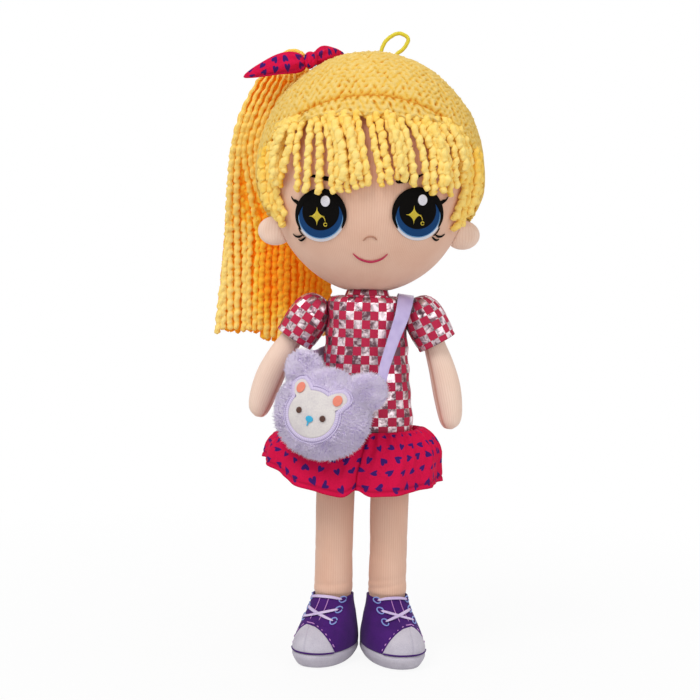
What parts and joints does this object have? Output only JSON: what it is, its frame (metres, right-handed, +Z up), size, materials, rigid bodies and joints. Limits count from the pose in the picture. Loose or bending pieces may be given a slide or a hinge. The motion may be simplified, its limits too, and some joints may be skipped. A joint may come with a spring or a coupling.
{
  "type": "rag doll",
  "caption": "Stuffed rag doll with knitted hair cap, fringe and side ponytail, checked dress with gathered skirt, sneakers and a plush shoulder bag; hangs from a cord loop.",
  "frame": {"origin": "on the floor under the soles, at the middle of the doll's width and depth without its hanging loop", "axes": "+Z up, -Y the way the face looks, +X the doll's left"},
  "size_m": [0.1754, 0.1132, 0.402],
  "materials": {
    "skin_cloth": "matte",
    "cap_yarn": "matte",
    "tail_yarn": "matte",
    "dress_foil_check": "satin",
    "skirt_cloth": "matte",
    "strap_satin": "satin",
    "bag_plush": "matte",
    "bag_felt": "matte",
    "thread_peach": "satin",
    "thread_brown": "satin",
    "thread_turquoise": "satin",
    "thread_blue": "satin",
    "thread_red": "satin",
    "shoe_purple": "matte",
    "shoe_white": "matte",
    "loop_cord": "satin",
    "thread_black": "satin",
    "thread_white": "satin",
    "thread_gold": "satin",
    "thread_lilac": "satin",
    "shoe_lace": "matte",
    "shoe_eyelet": "satin",
    "shoe_stitch": "satin"
  },
  "bodies": {
    "head": {"head": "skin_cloth", "ear_right": "skin_cloth", "ear_left": "skin_cloth", "eye_right": "thread_blue", "eye_left": "thread_blue", "nose": "thread_red", "mouth": "thread_red", "hair_cap": "cap_yarn", "fringe": "cap_yarn", "side_lock_right": "cap_yarn", "side_lock_left": "cap_yarn", "hair_tie": "tail_yarn", "bow_loop_right": "skirt_cloth", "bow_loop_left": "skirt_cloth", "bow_knot": "skirt_cloth", "hang_loop": "loop_cord"},
    "ponytail": {"ponytail": "tail_yarn"},
    "neck": {"neck": "skin_cloth", "neckline": "dress_foil_check"},
    "torso": {"torso": "skin_cloth", "bodice": "dress_foil_check", "skirt": "skirt_cloth", "bag_strap": "strap_satin"},
    "arm_right": {"arm_right": "skin_cloth", "sleeve_right": "dress_foil_check"},
    "arm_left": {"arm_left": "skin_cloth", "sleeve_left": "dress_foil_check"},
    "leg_right": {"leg_right": "skin_cloth", "shoe_right": "shoe_purple", "toe_cap_right": "shoe_white", "sole_right": "shoe_white"},
    "leg_left": {"leg_left": "skin_cloth", "shoe_left": "shoe_purple", "toe_cap_left": "shoe_white", "sole_left": "shoe_white"},
    "bag": {"bag_front": "bag_plush", "bag_back": "bag_plush", "bag_face": "bag_felt", "bag_inner_ear_right": "thread_peach", "bag_inner_ear_left": "thread_peach", "bag_eye_right": "thread_brown", "bag_eye_left": "thread_brown", "bag_nose": "thread_turquoise"}
  },
  "joints": [
    {"name": "neck_nod", "type": "hinge", "parent": "head", "child": "neck", "pos_m": [0.01415, -0.00044, 0.2305], "axis": [1, 0, 0], "range_deg": [-12, 12], "stiffness_Nm_per_rad": 0.5},
    {"name": "neck_tilt", "type": "hinge", "parent": "neck", "child": "torso", "pos_m": [0.01415, -0.00044, 0.2305], "axis": [0, 1, 0], "range_deg": [-7, 7], "stiffness_Nm_per_rad": 0.5},
    {"name": "arm_right_raise", "type": "hinge", "parent": "torso", "child": "arm_right", "pos_m": [-0.02185, -0.00044, 0.221], "axis": [0, 1, 0], "range_deg": [0, 85]},
    {"name": "arm_left_raise", "type": "hinge", "parent": "torso", "child": "arm_left", "pos_m": [0.05015, -0.00044, 0.221], "axis": [0, -1, 0], "range_deg": [0, 85]},
    {"name": "leg_right_swing", "type": "hinge", "parent": "torso", "child": "leg_right", "pos_m": [-0.00345, -0.00044, 0.117], "axis": [-1, 0, 0], "range_deg": [-30, 85], "stiffness_Nm_per_rad": 0.06, "deforming": ["skirt"]},
    {"name": "leg_left_swing", "type": "hinge", "parent": "torso", "child": "leg_left", "pos_m": [0.03175, -0.00044, 0.117], "axis": [-1, 0, 0], "range_deg": [-30, 85], "stiffness_Nm_per_rad": 0.06, "deforming": ["skirt"]},
    {"name": "ponytail_swing", "type": "hinge", "parent": "head", "child": "ponytail", "pos_m": [-0.04585, 0.01256, 0.371], "axis": [0, 1, 0], "range_deg": [0, 45]},
    {"name": "bag_swing", "type": "hinge", "parent": "torso", "child": "bag", "pos_m": [0.00245, -0.03344, 0.1862], "axis": [-0.907, 0.3104, 0.2845], "range_deg": [0, 60]}
  ]
}
